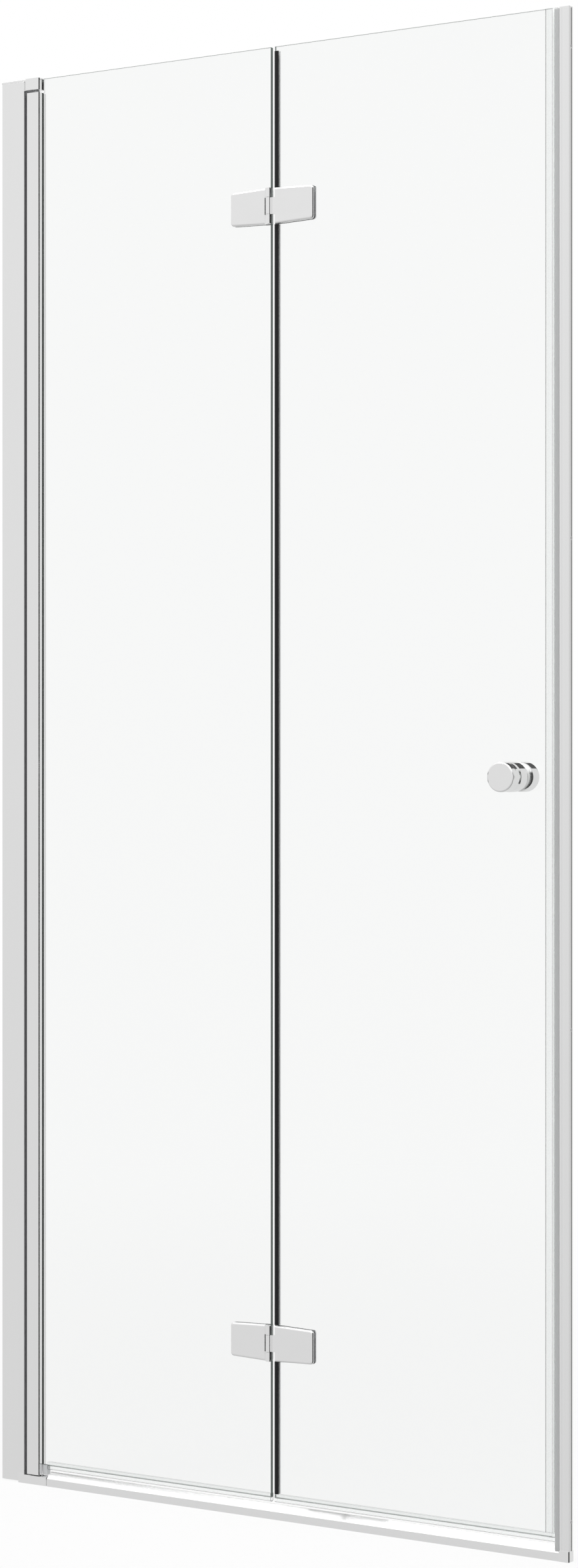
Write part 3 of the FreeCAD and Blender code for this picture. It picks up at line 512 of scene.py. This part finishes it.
def pane_glass(name, node, tint, left, right, end, glow=0.0):
    """Clear toughened glass.  Its narrow faces are the planes of the pane's box.

    They have colours: on the left, on the right, and on the level ends, top and bottom; a pale right one and
    the lighter ends are painted light.
    Glow is painted light: an emission that the right one gives off, for light piped there through the pane.
    """
    made = bpy.data.materials.new(name)
    made.use_nodes = True
    tree = made.node_tree
    wire = Wire(tree)
    low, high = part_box(node)
    place = wire.place()
    near = 0.2 * MM
    across, up = place.part("X"), place.part("Z")
    level = up.step(low.z + near, low.z).either(up.step(high.z - near, high.z))
    on_right = across.step(high.x - near, high.x)
    rim = level.either(on_right).either(across.step(low.x + near, low.x))
    film = wire.noise((7, 7, 3), 2.0)

    clear = tree.nodes["Principled BSDF"]
    clear.inputs["Transmission Weight"].default_value = 1.0
    clear.inputs["IOR"].default_value = 1.5
    tree.links.new(film.tinted(tint, 0.998, 1.002).socket, clear.inputs["Base Color"])
    tree.links.new((film.step(0.55, 0.8) * 0.004).socket, clear.inputs["Roughness"])

    ground = wire.noise((500, 500, 60))
    rim_inputs = {
        # Painted light: the level ends take a lighter tint than the upright faces.
        "Base Color": (level * (0.9 + 0.1 * ground)).mix(on_right.mix(left, right), end),
        "Roughness": 0.08 + 0.1 * ground,
        "IOR": 1.5,
        # Painted light: the right face glows in its own tint.
        "Emission Color": on_right.mix((0, 0, 0), right),
        "Emission Strength": glow,
    }
    polished = wire.node("ShaderNodeBsdfPrincipled", (), rim_inputs)

    body = wire.node("ShaderNodeMixShader", (), {0: rim, 1: Wire(tree, clear.outputs[0]), 2: polished})
    pass_light(tree, body, tint)
    return made


def dress(names, finish):
    """Gives each of these nodes the finish in all its material slots."""
    for name in names:
        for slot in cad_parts[name].material_slots:
            slot.material = finish


def rounded(corners, radius, closed, turns=6):
    """Section through the corners, each inner corner replaced by an arc of that radius where its legs allow.

    The arc leaves a leg at radius * tan(turn / 2) before the corner, and its points are
    centre + radius * (cos a, sin a) for a from one leg's normal to the other's.
    """
    corners = np.asarray(corners, float)
    count = len(corners)
    points = []
    for index, corner in enumerate(corners):
        if not closed and index in (0, count - 1):
            points.append(corner[None])
            continue
        before = corners[index - 1] - corner
        after = corners[(index + 1) % count] - corner
        reach = min(np.linalg.norm(before), np.linalg.norm(after))
        before /= np.linalg.norm(before)
        after /= np.linalg.norm(after)
        half = np.arccos(np.clip(before @ after, -1, 1)) / 2
        back = min(radius / np.tan(half), reach * 0.45)
        bisector = (before + after) / np.linalg.norm(before + after)
        centre = corner + bisector * back / np.cos(half)
        first = corner + before * back - centre
        last = corner + after * back - centre
        steps = np.linspace(0, 1, turns + 1)[:, None]
        swing = np.pi - 2 * half
        arc = (np.sin((1 - steps) * swing) * first + np.sin(steps * swing) * last) / np.sin(swing)
        points.append(centre + arc)
    return np.concatenate(points)


def wall_sides(line, wall, closed):
    """Both sides of a thin wall about its middle line.

    A side is line(u) + normal(u) * wall / 2, where the normal is the left one, mitred at the corners:
    the sum of the normals of both legs, over one plus their dot product.
    """
    legs = np.diff(line, axis=0, append=line[:1])
    legs /= np.linalg.norm(legs, axis=1, keepdims=True)
    if not closed:
        legs[-1] = legs[-2]
    before = np.roll(legs, 1, axis=0)
    if not closed:
        before[0] = legs[0]
    normals = np.stack([-legs[:, 1], legs[:, 0]], axis=1)
    earlier = np.stack([-before[:, 1], before[:, 0]], axis=1)
    mitre = (normals + earlier) / (1 + np.sum(normals * earlier, axis=1, keepdims=True))
    return line + mitre * wall / 2, line - mitre * wall / 2


def carried(line, wall, span, axis, closed=False):
    """Thin wall swept along an axis: point (u, v) is a side of the section at u, at span(v) along the axis.

    The section's middle line lies in the plane across the axis.  An end of the span is one place, or one
    place for each point of the line.  Returns points and outward faces.
    """
    sides = wall_sides(line, wall, closed)
    count = len(line)
    points = np.zeros((2, 2, count, 3))
    for end in range(2):
        for side in range(2):
            points[end, side, :, axis] = span[end]
            points[end, side][:, [i for i in range(3) if i != axis]] = sides[side]
    here = np.arange(count if closed else count - 1)
    ahead = (here + 1) % count
    left, right, far = 0, count, 2 * count
    faces = [
        np.stack([ahead + left, here + left, here + left + far, ahead + left + far], axis=1),
        np.stack([here + right, ahead + right, ahead + right + far, here + right + far], axis=1),
        np.stack([here + left, ahead + left, ahead + right, here + right], axis=1),
        np.stack([ahead + left, here + left, here + right, ahead + right], axis=1) + far,
    ]
    if not closed:
        last = count - 1
        faces.append(np.array([[left, right, right + far, left + far]]))
        faces.append(np.array([[right, left, left + far, right + far]]) + last)
    return points.reshape(-1, 3), np.concatenate(faces)


def soft_piece(name, walls, finish):
    """Object of several closed walls, smooth but for their sharp edges."""
    offsets = np.cumsum([0] + [len(points) for points, _ in walls[:-1]])
    points = np.concatenate([points for points, _ in walls])
    faces = np.concatenate([quads + start for (_, quads), start in zip(walls, offsets)])
    mesh = bpy.data.meshes.new(name)
    mesh.from_pydata(points.tolist(), [], faces.tolist())
    mesh.materials.append(finish)
    mesh.polygons.foreach_set("use_smooth", np.ones(len(mesh.polygons), bool))
    mesh.set_sharp_from_angle(angle=math.radians(40))
    piece = bpy.data.objects.new(name, mesh)
    bpy.context.scene.collection.objects.link(piece)
    return piece


def stand_in(piece, node, body):
    """The new piece takes a node's place on its body, and the node is hidden."""
    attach(piece, body)
    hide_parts(node)


class DOOR_OT_profiles(bpy.types.Operator):
    """Finish the extruded bars: upright profiles drawn along Z, threshold rail along X"""

    bl_idname = "door.profiles"
    bl_label = "Aluminium profiles"

    def execute(self, context):
        finish = context.scene.door_finishes
        tint, roughness = tuple(finish.aluminium), finish.aluminium_roughness
        dress(UPRIGHTS, bright_aluminium("aluminium_upright", tint, roughness, DRAWN_UP))
        strike = bright_aluminium("aluminium_strike", tint, roughness, DRAWN_UP, strike_work(finish))
        dress(["strike_profile"], strike)
        # The dark mill tint is partly painted shade of the slot.
        dull = bright_aluminium("aluminium_mill_and_slot_shade", tuple(finish.mill_and_slot_shade), finish.mill_roughness, DRAWN_UP)
        dress(["adjusting_profile"], dull)
        dress(["threshold_rail"], bright_aluminium("aluminium_rail", tint, roughness, DRAWN_ALONG))
        return {"FINISHED"}


class DOOR_OT_fittings(bpy.types.Operator):
    """Finish the plated hinge plates, pivot blocks, caps and end piece"""

    bl_idname = "door.fittings"
    bl_label = "Chrome fittings"

    def execute(self, context):
        finish = context.scene.door_finishes
        dress(FITTINGS, plated_chrome("chrome_fittings", tuple(finish.chrome), finish.chrome_roughness))
        return {"FINISHED"}


class DOOR_OT_knob(bpy.types.Operator):
    """Finish both halves of the knob"""

    bl_idname = "door.knob"
    bl_label = "Chrome knob"

    def execute(self, context):
        finish = context.scene.door_finishes
        dress(KNOBS, plated_chrome("chrome_knob", tuple(finish.chrome), finish.chrome_roughness))
        return {"FINISHED"}


class DOOR_OT_fasteners(bpy.types.Operator):
    """Finish the pins, screws and the knob's stud"""

    bl_idname = "door.fasteners"
    bl_label = "Steel pins and screws"

    def execute(self, context):
        dress(FASTENERS, turned_steel(tuple(context.scene.door_finishes.steel)))
        return {"FINISHED"}


class DOOR_OT_glass(bpy.types.Operator):
    """Finish both panes and their narrow faces"""

    bl_idname = "door.glass"
    bl_label = "Glass panes"

    def execute(self, context):
        finish = context.scene.door_finishes
        tint, edge, end = (tuple(tint) for tint in (finish.glass, finish.glass_edge, finish.glass_end_painted_light))
        dress(["pivot_pane"], pane_glass("pivot_glass", "pivot_pane", tint, edge, edge, end))
        # The sealed edge's pale tint and glow are painted light.
        sealed, glow = tuple(finish.glass_sealed_painted_light), finish.glass_painted_glow
        dress(["closing_pane"], pane_glass("closing_glass", "closing_pane", tint, edge, sealed, end, glow))
        return {"FINISHED"}


class DOOR_OT_plastics(bpy.types.Operator):
    """Finish the bushes, the washer, the drip seal's stop, the hinge pads and the knob's sleeve"""

    bl_idname = "door.plastics"
    bl_label = "Plastic parts"

    def execute(self, context):
        dress(PLASTICS, moulded_plastic(tuple(context.scene.door_finishes.plastic)))
        return {"FINISHED"}


class DOOR_OT_gaskets(bpy.types.Operator):
    """Finish the rubber in the groove of the pivot profile and under both knobs"""

    bl_idname = "door.gaskets"
    bl_label = "Rubber gaskets"

    def execute(self, context):
        seals = context.scene.door_seals
        finish = dark_rubber("gasket_rubber", tuple(seals.gasket), seals.gasket_shine)
        dress(["glazing_gasket", "knob_washers"], finish)
        return {"FINISHED"}


class DOOR_OT_magnets(bpy.types.Operator):
    """Finish the two magnet strips"""

    bl_idname = "door.magnets"
    bl_label = "Magnet strips"

    def execute(self, context):
        dress(MAGNETS, sintered_magnet(tuple(context.scene.door_finishes.magnet)))
        return {"FINISHED"}


class DOOR_OT_drip_seals(bpy.types.Operator):
    """Make the clear strips under both panes: two legs, a web under the glass and a soft bulb"""

    bl_idname = "door.drip_seals"
    bl_label = "Drip seals"

    def execute(self, context):
        seals = context.scene.door_seals
        finish = clear_vinyl("clear_vinyl", tuple(seals.clear), seals.clear_haze, 1.0)
        for leaf in ("pivot", "closing"):
            node = f"{leaf}_drip_seal"
            low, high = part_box(node)
            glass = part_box(f"{leaf}_pane")[0].z
            inset = seals.wall / 2
            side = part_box(f"{leaf}_pane")[1].y + seals.fit + inset
            web = glass - seals.fit - inset
            foot = low.z + inset
            grip = rounded([(-side, high.z), (-side, web), (side, web), (side, high.z)], seals.corner, False)
            bulge = rounded([(-side, web), (-side, foot), (side, foot), (side, web)], side, False)
            walls = [carried(line, seals.wall, (low.x, high.x), 0) for line in (grip, bulge)]
            piece = soft_piece(f"{leaf}_drip_strip", walls, finish)
            stand_in(piece, node, f"{leaf}_leaf")
        return {"FINISHED"}


class DOOR_OT_fold_seal(bpy.types.Operator):
    """Make the black strip on the fold edge, in lengths between the hinges"""

    bl_idname = "door.fold_seal"
    bl_label = "Fold seal"

    def execute(self, context):
        seals = context.scene.door_seals
        low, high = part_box("fold_seal")
        inset = seals.wall / 2
        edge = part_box("closing_pane")[0].x
        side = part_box("closing_pane")[1].y + seals.fit + inset
        web = low.x + inset
        legs = [(high.x, -side), (web, -side), (web, side), (edge + seals.fold_rear, side)]
        section = rounded(legs, seals.corner, False)
        ends = [low.z]
        for level in ("lower", "upper"):
            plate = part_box(f"{level}_hinge_closing_plate")
            ends += [plate[0].z - seals.gap, plate[1].z + seals.gap]
        ends.append(high.z)
        walls = [carried(section, seals.wall, span, 2) for span in zip(ends[::2], ends[1::2])]
        # The pale tint on the strip's side on the glass is painted light.
        inner = (side, tuple(seals.fold_painted_light))
        finish = dark_rubber("black_vinyl", tuple(seals.black), seals.black_shine, inner)
        piece = soft_piece("fold_strip", walls, finish)
        stand_in(piece, "fold_seal", "closing_leaf")
        return {"FINISHED"}


class DOOR_OT_closing_seals(bpy.types.Operator):
    """Make the clear strips that carry the magnets: on the closing edge and in the strike profile"""

    bl_idname = "door.closing_seals"
    bl_label = "Magnet seals"

    def execute(self, context):
        seals = context.scene.door_seals
        lip = (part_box("magnet_seal")[0].x, seals.lip, seals.lip_painted_shade)
        clear = clear_vinyl("closing_vinyl", tuple(seals.clear), seals.clear_haze, 1.0, lip)
        milky = clear_vinyl("milky_vinyl", tuple(seals.milky), seals.milky_haze, seals.milky_clear)
        self.closing_edge(seals, clear)
        self.strike(seals, milky)
        return {"FINISHED"}

    def closing_edge(self, seals, finish):
        """Legs along the glass, a web on its edge, and a nose that closes round the magnet."""
        low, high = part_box("magnet_seal")
        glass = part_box("closing_pane")[1]
        inset = seals.wall / 2
        edge = glass.x + seals.fit
        side = glass.y + seals.fit + inset
        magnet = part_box("door_magnet")[1].x
        tip = (magnet + high.x) / 2
        nose = rounded([(low.x, -side), (tip, -side), (tip, side), (low.x, side)], seals.corner, False)
        web = np.array([(edge + inset, -side), (edge + inset, side)])
        walls = [carried(line, seals.wall, (low.z, high.z), 2) for line in (nose, web)]
        piece = soft_piece("magnet_strip", walls, finish)
        stand_in(piece, "magnet_seal", "closing_leaf")

    def strike(self, seals, finish):
        """A head that closes round the magnet, and a foot in the slot of the strike profile."""
        low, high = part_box("strike_seal")
        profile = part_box("strike_profile")
        inset = seals.wall / 2
        face = (low.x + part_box("strike_magnet")[0].x) / 2
        back = profile[0].x - inset
        middle = (profile[0].y + profile[1].y) / 2
        head = rounded(
            [(face, low.y + inset), (back, low.y + inset), (back, high.y - inset), (face, high.y - inset)],
            seals.corner,
            True,
        )
        foot = np.array([(back, middle), (high.x, middle)])
        walls = [
            carried(line, seals.wall, (self.above_rail(seals, line[:, 1]), high.z), 2, closed)
            for line, closed in ((head, True), (foot, False))
        ]
        piece = soft_piece("strike_strip", walls, finish)
        stand_in(piece, "strike_seal", "frame")

    def above_rail(self, seals, depth):
        """Height of the rail at each depth and a gap more: its slope rises evenly from edge to ridge."""
        low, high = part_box("threshold_rail")
        share_up = (depth - low.y) / (high.y - seals.rail_ridge - low.y)
        return seals.rail_edge + (high.z - seals.rail_edge) * np.clip(share_up, 0, 1) + seals.gap


def ray_shares(wire):
    """First 1 for the camera's own rays, also through glass; second 1 for rays that a mirror has turned."""
    path = wire.node("ShaderNodeLightPath").socket.node.outputs
    turned = wire.math("MINIMUM", Wire(wire.tree, path["Glossy Depth"]), 1.0)
    seen = Wire(wire.tree, path["Is Camera Ray"]).either(Wire(wire.tree, path["Is Transmission Ray"]))
    return seen * (1 - turned), turned


def sector(flat, heading, inner, outer):
    """1 where the level direction is within inner degrees of the heading, 0 beyond outer."""
    a = math.radians(heading)
    aim = flat.node(
        "ShaderNodeVectorMath",
        {"operation": "DOT_PRODUCT"},
        {0: flat, 1: (math.sin(a), -math.cos(a), 0)},
        "Value",
    )
    return aim.step(math.cos(math.radians(outer)), math.cos(math.radians(inner)))


def level_direction(way):
    """The way's own direction in plan, of length 1."""
    plan = way.node("ShaderNodeVectorMath", {"operation": "MULTIPLY"}, {0: way, 1: (1, 1, 0)})
    return way.node("ShaderNodeVectorMath", {"operation": "NORMALIZE"}, {0: plan})


class DOOR_OT_stage(bpy.types.Operator):
    """Set the floor, the light and the camera"""

    bl_idname = "door.stage"
    bl_label = "Stage"

    def execute(self, context):
        stage = context.scene.door_stage
        self.floor(stage)
        self.surroundings(context.scene, stage)
        self.lamps(context.scene)
        self.camera(context.scene, stage)
        context.scene.view_settings.view_transform = "Standard"
        return {"FINISHED"}

    def floor(self, stage):
        """Square plane under the door: the camera sees it as white but for the door's faint shadow.

        Mirror rays pass through it, so metal and glass mirror the studio there too.
        """
        half = stage.floor_side / 2
        mesh = bpy.data.meshes.new("floor")
        corners = [(-half, -half, 0), (half, -half, 0), (half, half, 0), (-half, half, 0)]
        mesh.from_pydata(corners, [], [(0, 1, 2, 3)])
        made = bpy.data.materials.new("pale_floor")
        made.use_nodes = True
        tree = made.node_tree
        wire = Wire(tree)
        seen, mirrored = ray_shares(wire)
        place = wire.place()
        reach = place.node("ShaderNodeVectorMath", {"operation": "LENGTH"}, {0: place}, "Value")
        far = reach.step(*FLOOR_FADE)
        white = wire.node("ShaderNodeEmission", (), {"Color": (1, 1, 1, 1), "Strength": 1.0})
        unseen = wire.node("ShaderNodeBsdfTransparent")
        matt = tree.nodes["Principled BSDF"]
        matt.inputs["Base Color"].default_value = (*stage.floor, 1)
        matt.inputs["Roughness"].default_value = 0.9
        matt.inputs["Specular IOR Level"].default_value = 0.0
        lit = Wire(tree, matt.outputs[0])
        plain = seen * (FLOOR_WHITE + (1 - FLOOR_WHITE) * far)
        shown = wire.node("ShaderNodeMixShader", (), {0: plain, 1: lit, 2: white})
        whole = wire.node("ShaderNodeMixShader", (), {0: mirrored, 1: shown, 2: unseen})
        tree.links.new(whole.socket, tree.nodes["Material Output"].inputs["Surface"])
        mesh.materials.append(made)
        plane = bpy.data.objects.new("floor", mesh)
        bpy.context.scene.collection.objects.link(plane)

    def surroundings(self, scene, stage):
        """World: white to the camera, also through glass, and even light to matt surfaces.

        Mirror rays see a pale studio with a dark side and a dark patch behind.
        """
        world = bpy.data.worlds.new("studio")
        world.use_nodes = True
        tree = world.node_tree
        wire = Wire(tree)
        way = wire.node("ShaderNodeTexCoord", output="Generated")
        rise = way.part("Z")
        ahead = way.part("Y").step(*IN_FRONT)
        level = STUDIO_LEVEL + ahead * (STUDIO_RISE * rise + STUDIO_TOP * rise.step(*OVERHEAD))
        flat = level_direction(way)
        beside = sector(flat, *DARK_SIDE) * rise.step(*DARK_SIDE_TOP)
        behind = sector(flat, *DARK_BACK) * rise.step(*DARK_BACK_FOOT) * rise.step(*DARK_BACK_TOP)
        mirror = level * (1 - DARKNESS * beside.either(behind))
        seen, mirrored = ray_shares(wire)
        strength = seen + mirrored * mirror + (1 - seen.either(mirrored)) * stage.daylight
        backdrop = tree.nodes["Background"]
        backdrop.inputs["Color"].default_value = (1, 1, 1, 1)
        tree.links.new(strength.socket, backdrop.inputs["Strength"])
        scene.world = world

    def lamps(self, scene):
        """Two wide soft lamps above the front."""
        for name, place, watts in LAMPS:
            light = bpy.data.lights.new(name, "AREA")
            light.shape = "SQUARE"
            light.size = LAMP_SIDE
            light.energy = watts
            lamp = bpy.data.objects.new(name, light)
            lamp.location = place
            aim = LAMP_AIM - lamp.location
            lamp.rotation_euler = aim.to_track_quat("-Z", "Y").to_euler()
            scene.collection.objects.link(lamp)

    def camera(self, scene, stage):
        """Level camera; the shift puts the horizon at its row of the picture."""
        lens = bpy.data.cameras.new("camera")
        lens.sensor_width = SENSOR
        lens.lens = FOCAL_PIXELS / IMAGE_HEIGHT * SENSOR
        lens.shift_y = (HORIZON_PIXEL - IMAGE_HEIGHT / 2) / IMAGE_HEIGHT
        eye = bpy.data.objects.new("camera", lens)
        eye.location = stage.eye
        eye.rotation_euler = (math.pi / 2, 0, stage.turn)
        scene.collection.objects.link(eye)
        scene.camera = eye


OPERATORS = (
    DOOR_OT_profiles,
    DOOR_OT_fittings,
    DOOR_OT_knob,
    DOOR_OT_fasteners,
    DOOR_OT_glass,
    DOOR_OT_plastics,
    DOOR_OT_gaskets,
    DOOR_OT_magnets,
    DOOR_OT_drip_seals,
    DOOR_OT_fold_seal,
    DOOR_OT_closing_seals,
    DOOR_OT_stage,
)


class DOOR_PT_panel(bpy.types.Panel):
    """Buttons and settings of the door"""

    bl_idname = "DOOR_PT_panel"
    bl_label = "Folding shower door"
    bl_space_type = "VIEW_3D"
    bl_region_type = "UI"
    bl_category = "Door"

    def draw(self, context):
        for group in (context.scene.door_finishes, context.scene.door_seals, context.scene.door_stage):
            for name in group.__annotations__:
                self.layout.prop(group, name)
        for operator in OPERATORS:
            self.layout.operator(operator.bl_idname)


GROUPS = {"door_finishes": DoorFinishes, "door_seals": DoorSeals, "door_stage": DoorStage}


def register():
    for kind in (*GROUPS.values(), *OPERATORS, DOOR_PT_panel):
        bpy.utils.register_class(kind)
    for name, kind in GROUPS.items():
        setattr(bpy.types.Scene, name, bpy.props.PointerProperty(type=kind))


def unregister():
    for name in GROUPS:
        delattr(bpy.types.Scene, name)
    for kind in (DOOR_PT_panel, *reversed(OPERATORS), *GROUPS.values()):
        bpy.utils.unregister_class(kind)


def main():
    register()
    bpy.ops.door.profiles()
    bpy.ops.door.fittings()
    bpy.ops.door.knob()
    bpy.ops.door.fasteners()
    bpy.ops.door.glass()
    bpy.ops.door.plastics()
    bpy.ops.door.gaskets()
    bpy.ops.door.magnets()
    bpy.ops.door.drip_seals()
    bpy.ops.door.fold_seal()
    bpy.ops.door.closing_seals()
    bpy.ops.door.stage()


if __name__ == "__main__":
    main()
